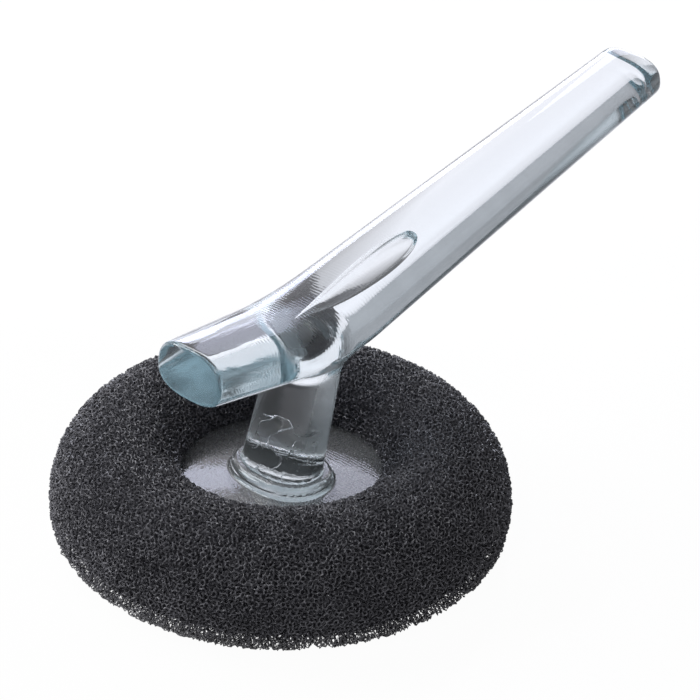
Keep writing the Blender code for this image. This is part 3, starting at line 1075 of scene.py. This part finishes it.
# %% Marks in the skin of the clear plastic
ALONG_BAR = (1.0, 0.0, 0.0)
HAZE_SCALE = 90.0
LEAST_ROUGHNESS = 0.01
FLOW_SCALE = 70.0
FLOW_STRETCH = (0.25, 1.0, 1.0)
STREAK_SCALE = 1800.0
STREAK_STRETCH = (0.02, 1.0, 1.0)
STREAK_FADE = (-0.004, 0.016)
STUB_STREAKS = 0.60
GRIP_STREAKS = 0.05
DRAWN_SCALE = 800.0
DRAWN_STRETCH = (1.0, 1.0, 0.04)
DRAWN_FADE = (0.050, 0.056)
DRAWN_HEIGHT = 0.80
COMB_HEIGHT = 0.8
COMB_SPACING = 0.0011
COMB_MIDDLE = 0.011
COMB_REACH = (0.015, 0.025)
WAVE_UNIT = math.tau / 20


def stretched(tree, place, scale):
    """The same place with its axes scaled, so that a pattern runs along one of them."""
    node = tree.nodes.new("ShaderNodeMapping")
    node.inputs["Scale"].default_value = scale
    tree.links.new(place, node.inputs["Vector"])
    return node.outputs["Vector"]


def comb_marks(tree, place):
    """Even scrape marks across the bar, round its bend.

    At a scale of one, Blender's wave texture repeats at every WAVE_UNIT.
    """
    node = tree.nodes.new("ShaderNodeTexWave")
    node.bands_direction = "X"
    node.inputs["Scale"].default_value = WAVE_UNIT / COMB_SPACING
    node.inputs["Distortion"].default_value = 3.0
    node.inputs["Detail"].default_value = 2.0
    tree.links.new(place, node.inputs["Vector"])
    off = unsigned(tree, along(tree, place, ALONG_BAR, -COMB_MIDDLE))
    near = remap(tree, off, *COMB_REACH, COMB_HEIGHT, 0.0)
    return times(tree, node.outputs["Fac"], near)


def moulded_haze_group():
    """Faint cloud in the gloss, and long low waves left by the flow of the plastic."""
    group, given, made = new_group("moulded_haze", ["Haze"], ["Roughness", "Height", "Cloud"])
    place = given["Place"]
    cloud = noise(group, place, HAZE_SCALE, 4.0, 0.6)
    most = plus(group, LEAST_ROUGHNESS, given["Haze"])
    flow = noise(group, stretched(group, place, FLOW_STRETCH), FLOW_SCALE, 2.0, 0.4)
    streak = noise(group, stretched(group, place, STREAK_STRETCH), STREAK_SCALE, 1.0, 0.4)
    streaks = remap(group, along(group, place, ALONG_BAR), *STREAK_FADE, STUB_STREAKS, GRIP_STREAKS)
    drawn = noise(group, stretched(group, place, DRAWN_STRETCH), DRAWN_SCALE, 1.0, 0.4)
    on_leg = remap(group, along(group, place, UP), *DRAWN_FADE, DRAWN_HEIGHT, 0.0)
    fine = plus(group, times(group, streak, streaks), comb_marks(group, place))
    fine = plus(group, fine, times(group, drawn, on_leg))
    group.links.new(remap(group, cloud, 0.45, 0.8, LEAST_ROUGHNESS, most), made["Roughness"])
    group.links.new(plus(group, flow, fine), made["Height"])
    group.links.new(cloud, made["Cloud"])
    return group


moulded_haze = moulded_haze_group()
print("marks in the clear plastic:", len(moulded_haze.nodes), "nodes")

# %% [markdown]
# Clear cement fills the joint and makes its two walls vanish. They show again where it
# didn't reach: outside its ragged rim, along fine hair lines and in a few bubbles. The
# group puts out a mask that is one in the cement. It later goes to the shader's Alpha,
# so a wall that is wetted by cement is simply not there.

# %% Cement between the foot and the pedestal
CEMENT_EDGE = 0.80
CEMENT_RAGGED = 0.14
CEMENT_INNER = 0.45
RAGGED_SCALE = 420.0
HAIR_SCALE = 150.0
HAIR_HALF_WIDTH = 0.007
BUBBLE_SCALE = 1500.0
BUBBLE_LEVEL = 0.74
JOINT_SLACK = 0.00003


def cement_group():
    """One where clear cement fills the joint of foot, pedestal, spigot and socket.

    Its rim is ragged, and hair lines and a few bubbles in it stay empty.
    """
    group, given, made = new_group("cement_film", [], ["Film"])
    place = given["Place"]
    lean = math.tan(LEG_LEAN)
    half_x = LEG_FOOT[0] / 2 + FOOT_FLARE
    half_y = LEG_FOOT[1] / 2 + FOOT_FLARE
    across = along(group, place, (1 / half_x, 0.0, -lean / half_x), PEDESTAL_TOP * lean / half_x)
    beside = along(group, place, (0.0, 1 / half_y, 0.0))
    height = along(group, place, UP)
    reach_x = math_node(group, "POWER", unsigned(group, across), OVAL_POWER)
    reach_y = math_node(group, "POWER", unsigned(group, beside), OVAL_POWER)
    reach = plus(group, reach_x, reach_y)
    ragged = noise(group, place, RAGGED_SCALE, 3.0, 0.6)
    rim = remap(group, ragged, 0.3, 0.7, CEMENT_EDGE - CEMENT_RAGGED, CEMENT_EDGE + CEMENT_RAGGED)
    inside = math_node(group, "LESS_THAN", reach, rim)
    joint = math_node(group, "LESS_THAN", height, FOOT_HEIGHT + JOINT_SLACK)
    socket = math_node(group, "LESS_THAN", reach, CEMENT_INNER)
    low = math_node(group, "GREATER_THAN", height, PEDESTAL_TOP - JOINT_SLACK)
    high = math_node(group, "LESS_THAN", height, PEDESTAL_TOP + SPIGOT[2] + 3 * SEAT_GAP)
    part = times(group, larger(group, joint, socket), times(group, low, high))
    loops = noise(group, place, HAIR_SCALE, 0.0)
    off = unsigned(group, math_node(group, "SUBTRACT", loops, 0.5))
    no_hair = math_node(group, "GREATER_THAN", off, HAIR_HALF_WIDTH)
    bubbles = noise(group, place, BUBBLE_SCALE, 1.0, 0.5)
    no_bubble = math_node(group, "LESS_THAN", bubbles, BUBBLE_LEVEL)
    film = times(group, times(group, inside, part), times(group, no_hair, no_bubble))
    group.links.new(film, made["Film"])
    return group


cement_film = cement_group()
print("cement mask:", len(cement_film.nodes), "nodes")

# %% [markdown]
# Clear plastic is a Principled shader with nearly full transmission. Its faint
# blue-green colour grows with thickness, so absorption inside the solid makes it and
# not a tint on the skin. Rays that ask for a lamp can't bend, and a solid would leave a
# black shadow, so for them alone the piece is a plain grey-blue filter. The saw-cut
# end of the stub and the far side of the leg are duller than the polished rest.

# %% One clear material for each piece
PLASTIC_IOR = 1.49
WHITE = (1.0, 1.0, 1.0)
SKIN_TINT = (0.985, 0.993, 0.993)
SHADOW_TINT = (0.50, 0.53, 0.56)
BODY_TINT = (0.35, 0.585, 0.645)
BODY_DENSITY = 10.0
FLOW_DEPTH = 0.00002
SAWN_ROUGHNESS = 0.14
SAWN_DEPTH = 0.0001
LEG_HAZE_FADE = (0.048, 0.054)
LEG_BACK = (0.74, 0.67, 0.0)
LEG_BACK_FADE = (0.0, 0.004)
STUB_FACE = (-directions[0][0], 0.0, -directions[0][1])
STUB_FACE_AT = stations[0][:2] @ -directions[0] - SAWN_DEPTH
NO_SAWN_FACE = 1.0


def clear_material(name, clearness, haze, sawn, leg_haze):
    """Clear plastic that colours light with its depth and lets lamps shine through."""
    material, tree, shader, place = new_material(name)
    marks = use_group(tree, moulded_haze, place, Haze=haze)
    film = use_group(tree, cement_film, place)["Film"]
    tree.links.new(math_node(tree, "SUBTRACT", 1.0, film), shader.inputs["Alpha"])
    tree.links.new(blend(tree, marks["Cloud"], SKIN_TINT, WHITE), shader.inputs["Base Color"])
    frost = remap(tree, along(tree, place, STUB_FACE), sawn, sawn + SAWN_DEPTH, 0.0, SAWN_ROUGHNESS)
    low = remap(tree, along(tree, place, UP), *LEG_HAZE_FADE, leg_haze, 0.0)
    behind = remap(tree, along(tree, place, LEG_BACK), *LEG_BACK_FADE)
    dull = larger(tree, frost, times(tree, low, behind))
    tree.links.new(larger(tree, marks["Roughness"], dull), shader.inputs["Roughness"])
    shader.inputs["Metallic"].default_value = 0.0
    shader.inputs["Transmission Weight"].default_value = clearness
    shader.inputs["IOR"].default_value = PLASTIC_IOR
    add_bump(tree, shader, marks["Height"], FLOW_DEPTH)
    body = tree.nodes.new("ShaderNodeVolumeAbsorption")
    body.inputs["Color"].default_value = (*BODY_TINT, 1.0)
    body.inputs["Density"].default_value = BODY_DENSITY
    through = tree.nodes.new("ShaderNodeBsdfTransparent")
    through.inputs["Color"].default_value = (*SHADOW_TINT, 1.0)
    mix = tree.nodes.new("ShaderNodeMixShader")
    path = tree.nodes.new("ShaderNodeLightPath")
    output = tree.nodes["Material Output"]
    tree.links.new(path.outputs["Is Shadow Ray"], mix.inputs["Fac"])
    tree.links.new(shader.outputs["BSDF"], mix.inputs[1])
    tree.links.new(through.outputs["BSDF"], mix.inputs[2])
    tree.links.new(mix.outputs["Shader"], output.inputs["Surface"])
    tree.links.new(body.outputs["Volume"], output.inputs["Volume"])
    return material


handle_finish = clear_material("clear_handle", 0.985, 0.02, STUB_FACE_AT, 0.35)
plate_finish = clear_material("clear_plate", 0.95, 0.06, NO_SAWN_FACE, 0.0)

handle = add_piece("clear_handle", handle_mesh, handle_finish)
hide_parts("handle")

# %% [markdown]
# The plate is a clear disc held in the foam's slit. A low oval pedestal rises from it
# with a soft fillet, and a spigot on the pedestal goes up into the leg. The disc is
# turned and the rest is skinned over oval rings, then all three become one mesh,
# because an inner wall between them would show through clear plastic.

# %% The clear plate
PEDESTAL = (0.0256, 0.0332)
PEDESTAL_EDGE = 0.0021
PEDESTAL_ROOT = 0.0013
PLATE_EDGE = 0.001
PLATE_RADIUS = plate_high.x
PLATE_THICKNESS = PLATE_TOP_HEIGHT - plate_low.z
PLATE_STEPS = 160


def plate_profile():
    """Section of the disc from its top middle round the edge to its bottom middle."""
    inner = PLATE_RADIUS - PLATE_EDGE
    bottom = plate_low.z
    top_round = quarter((inner, PLATE_TOP_HEIGHT - PLATE_EDGE), PLATE_EDGE, PLATE_EDGE, 2.0, 8)
    bottom_round = quarter((inner, bottom + PLATE_EDGE), PLATE_EDGE, -PLATE_EDGE, 2.0, 8)
    parts = [[[0.0, PLATE_TOP_HEIGHT]], top_round, bottom_round[::-1], [[0.0, bottom]]]
    return np.concatenate(parts).tolist()


def pedestal_rings():
    """Rings of the pedestal: a hollow fillet at its root and a round top edge."""
    sunk = PLATE_TOP_HEIGHT - PLATE_THICKNESS / 2
    rings = [(*PEDESTAL, sunk)]
    for turn in np.linspace(0, math.pi / 2, 9):
        grow = 2 * PEDESTAL_ROOT * (1 - math.sin(turn))
        rings.append((PEDESTAL[0] + grow, PEDESTAL[1] + grow,
                      PLATE_TOP_HEIGHT + PEDESTAL_ROOT * (1 - math.cos(turn))))
    rings += post(*PEDESTAL, PLATE_TOP_HEIGHT + PEDESTAL_ROOT, PEDESTAL_TOP, PEDESTAL_EDGE)[1:]
    return upright(rings, False)


disc = turned("plate", plate_profile(), PLATE_STEPS)
plate_mesh = join(disc, skin("pedestal", pedestal_rings()), "UNION")
plate_mesh = join(plate_mesh, skin("spigot", spigot_rings(0.0)), "UNION")
plate_mesh.shade_smooth()
plate_mesh.set_sharp_from_angle(angle=SHARP_ANGLE)
plate = add_piece("clear_plate", plate_mesh, plate_finish)
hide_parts("backing_plate")
print("plate", len(plate_mesh.polygons), "faces")

# %% [markdown]
# Clear plastic shows what stands round it, so its looks are made by the room. A
# photographer puts bright paper behind it, dark flags at its sides and white paper in
# front. Here floor and world are plain white for the camera, and rays that come off
# or through the plastic find them brighter or dimmer by direction. The directions are
# fixed in the room and don't follow the camera. A dim strip across the table draws
# the dark line along the grip's lower edge.

# %% What the clear plastic sees
PAPER_TINT = (1.035, 1.018, 1.095)


def clear_rays(tree):
    """Masks of rays: straight from the camera, off gloss, and off or through anything clear."""
    path = tree.nodes.new("ShaderNodeLightPath").outputs
    through = larger(tree, path["Is Transmission Ray"], path["Is Glossy Ray"])
    return path["Is Camera Ray"], path["Is Glossy Ray"], through


def towards_back(tree, place, low, high, side):
    """A share that grows along the level direction away from the photographed side."""
    return remap(tree, along(tree, place, from_camera(0, 1, 0)), low, high, side, 1.0)


def towards_front(tree, place, low, high):
    """A share that grows along the level direction towards the photographed side."""
    return remap(tree, along(tree, place, from_camera(0, -1, 0)), low, high)


# %% Floor
FLOOR_HALF = 1.5
FLOOR_GREY = (0.88, 0.88, 0.88, 1.0)
FLOOR_ROUGHNESS = 0.12
FLOOR_GLOW = 0.97
FLOOR_GLOW_THROUGH = 0.9
FLOOR_BACK = (0.05, 0.15)
FLOOR_FRONT = (0.15, 0.30)
FLOOR_SIDE = 0.10
STRIP_ACROSS = from_camera(-1, 1, 0).normalized()
STRIP_MIDDLE = 0.060
STRIP_REACH = (0.040, 0.060)
STRIP_SIDE = 0.35


def table_light(tree, place):
    """Brightness of the table by place: bright back and front, dim sides and one dim strip."""
    lit = towards_back(tree, place, *FLOOR_BACK, FLOOR_SIDE)
    lit = larger(tree, lit, towards_front(tree, place, *FLOOR_FRONT))
    off = unsigned(tree, along(tree, place, STRIP_ACROSS, STRIP_MIDDLE))
    return times(tree, lit, remap(tree, off, *STRIP_REACH, STRIP_SIDE, 1.0))


def table_material():
    """White table that shows the camera its shadows and the clear plastic its glow."""
    material, tree, shader, place = new_material("white_table")
    shader.inputs["Base Color"].default_value = FLOOR_GREY
    shader.inputs["Roughness"].default_value = FLOOR_ROUGHNESS
    glow = tree.nodes.new("ShaderNodeEmission")
    camera_ray, _, through = clear_rays(tree)
    tree.links.new(larger(tree, camera_ray, table_light(tree, place)), glow.inputs["Strength"])
    tree.links.new(blend(tree, through, WHITE, PAPER_TINT), glow.inputs["Color"])
    mix = tree.nodes.new("ShaderNodeMixShader")
    share = plus(tree, times(tree, camera_ray, FLOOR_GLOW), times(tree, through, FLOOR_GLOW_THROUGH))
    tree.links.new(share, mix.inputs["Fac"])
    tree.links.new(shader.outputs["BSDF"], mix.inputs[1])
    tree.links.new(glow.outputs["Emission"], mix.inputs[2])
    tree.links.new(mix.outputs["Shader"], tree.nodes["Material Output"].inputs["Surface"])
    return material


corners = [(x * FLOOR_HALF, y * FLOOR_HALF, 0) for x, y in ((-1, -1), (1, -1), (1, 1), (-1, 1))]
table = bpy.data.meshes.new("studio_floor")
table.from_pydata(corners, [], [(0, 1, 2, 3)])
table.materials.append(table_material())
floor = bpy.data.objects.new("studio_floor", table)
bpy.context.scene.collection.objects.link(floor)
print("floor", 2 * FLOOR_HALF, "m wide")

# %% World
WORLD_FILL = 0.14
WORLD_BACK = (-0.2, 0.7)
WORLD_SIDE = 0.35
WORLD_FRONT = (0.1, 0.5)
FRONT_TOP = (0.25, 0.50)
FRONT_MIRRORED = 0.85
WORLD_DIM = (0.58, 0.70)
WORLD_HIGH = 0.55


def sky_light(tree, direction, glossy):
    """Brightness of the room by direction, for rays that come off or through the plastic."""
    height = along(tree, direction, UP)
    paper = larger(tree, remap(tree, height, *FRONT_TOP, 1.0, 0.0), times(tree, glossy, FRONT_MIRRORED))
    front = times(tree, towards_front(tree, direction, *WORLD_FRONT), paper)
    lit = larger(tree, towards_back(tree, direction, *WORLD_BACK, WORLD_SIDE), front)
    return times(tree, lit, remap(tree, height, *WORLD_DIM, 1.0, WORLD_HIGH))


world = bpy.data.worlds.new("studio_world")
world.use_nodes = True
bpy.context.scene.world = world
sky = world.node_tree
background = sky.nodes["Background"]
camera_ray, glossy, through = clear_rays(sky)
direction = sky.nodes.new("ShaderNodeTexCoord").outputs["Generated"]
seen = times(sky, through, sky_light(sky, direction, glossy))
fill = times(sky, math_node(sky, "SUBTRACT", 1.0, through), WORLD_FILL)
sky.links.new(larger(sky, plus(sky, seen, fill), camera_ray), background.inputs["Strength"])
sky.links.new(blend(sky, through, WHITE, PAPER_TINT), background.inputs["Color"])
print("world fill", WORLD_FILL)

# %% [markdown]
# A ray inside the handle meets many walls before it gets out again. It would end in
# black at Blender's usual number of bounces, so the limits go up.

# %% Let light run its whole way through thick plastic
LIGHT_BOUNCES = 32
tracing = bpy.context.scene.cycles
tracing.max_bounces = LIGHT_BOUNCES
tracing.glossy_bounces = LIGHT_BOUNCES
tracing.transmission_bounces = LIGHT_BOUNCES
tracing.transparent_max_bounces = LIGHT_BOUNCES
print("bounces", LIGHT_BOUNCES)

# %% [markdown]
# Two kinds of lamp do two jobs. Cards stand behind the object and only mirror in the
# plastic, so they draw its highlights and light nothing else. Soft boxes light the
# foam and the floor from the left and from above. The two strongest don't mirror,
# because they would leave hard spots on the bar. All are given in the camera's axes.

# %% Lamps
PAD_AIM = Vector((0.0, 0.0, 0.03))
COOL_WHITE = (0.82, 0.86, 1.0)
LAVENDER = (0.74, 0.78, 1.0)


def softbox(name, place, size, strength, colour=WHITE, aim=PAD_AIM):
    """A lamp as wide and high as size, given by how bright its face is."""
    lamp = bpy.data.lights.new(name, "AREA")
    lamp.shape = "RECTANGLE"
    lamp.size, lamp.size_y = size
    lamp.energy = strength * math.pi * size[0] * size[1]
    lamp.color = colour
    item = bpy.data.objects.new(name, lamp)
    item.location = from_camera(*place)
    item.rotation_euler = (item.location - aim).to_track_quat("Z", "Y").to_euler()
    item.visible_camera = False
    item.visible_transmission = False
    bpy.context.scene.collection.objects.link(item)
    return item


cards = [
    softbox("low_card", (-0.40, 1.15, 0.14), (0.44, 0.26), 2.0, COOL_WHITE),
    softbox("back_card", (0.0, 1.12, 0.38), (0.84, 0.34), 4.0, COOL_WHITE),
    softbox("core_card", (0.0, 1.10, 0.33), (0.84, 0.17), 2.3, COOL_WHITE),
    softbox("high_card", (0.18, 0.98, 0.66), (0.52, 0.36), 2.6, LAVENDER, Vector((0, 0, 0.02))),
    softbox("plate_card", (-0.0425, 0.15, 0.1285), (0.026, 0.021), 4.6, LAVENDER,
            from_camera(-0.022, 0.0, 0.02)),
]
for card in cards:
    card.visible_diffuse = False
soft_boxes = [
    softbox("top_softbox", (-0.45, 0.45, 0.85), (0.5, 0.5), 4.2),
    softbox("left_softbox", (-0.9, 0.1, 0.55), (0.4, 0.5), 5.6),
    softbox("side_softbox", (-0.90, 0.30, 0.42), (0.4, 0.4), 11.0),
    softbox("front_softbox", (-0.30, -0.75, 0.95), (0.3, 0.3), 10.0),
]
for lamp in soft_boxes[2:]:
    lamp.visible_glossy = False
print("lamps", [lamp.name for lamp in cards + soft_boxes])
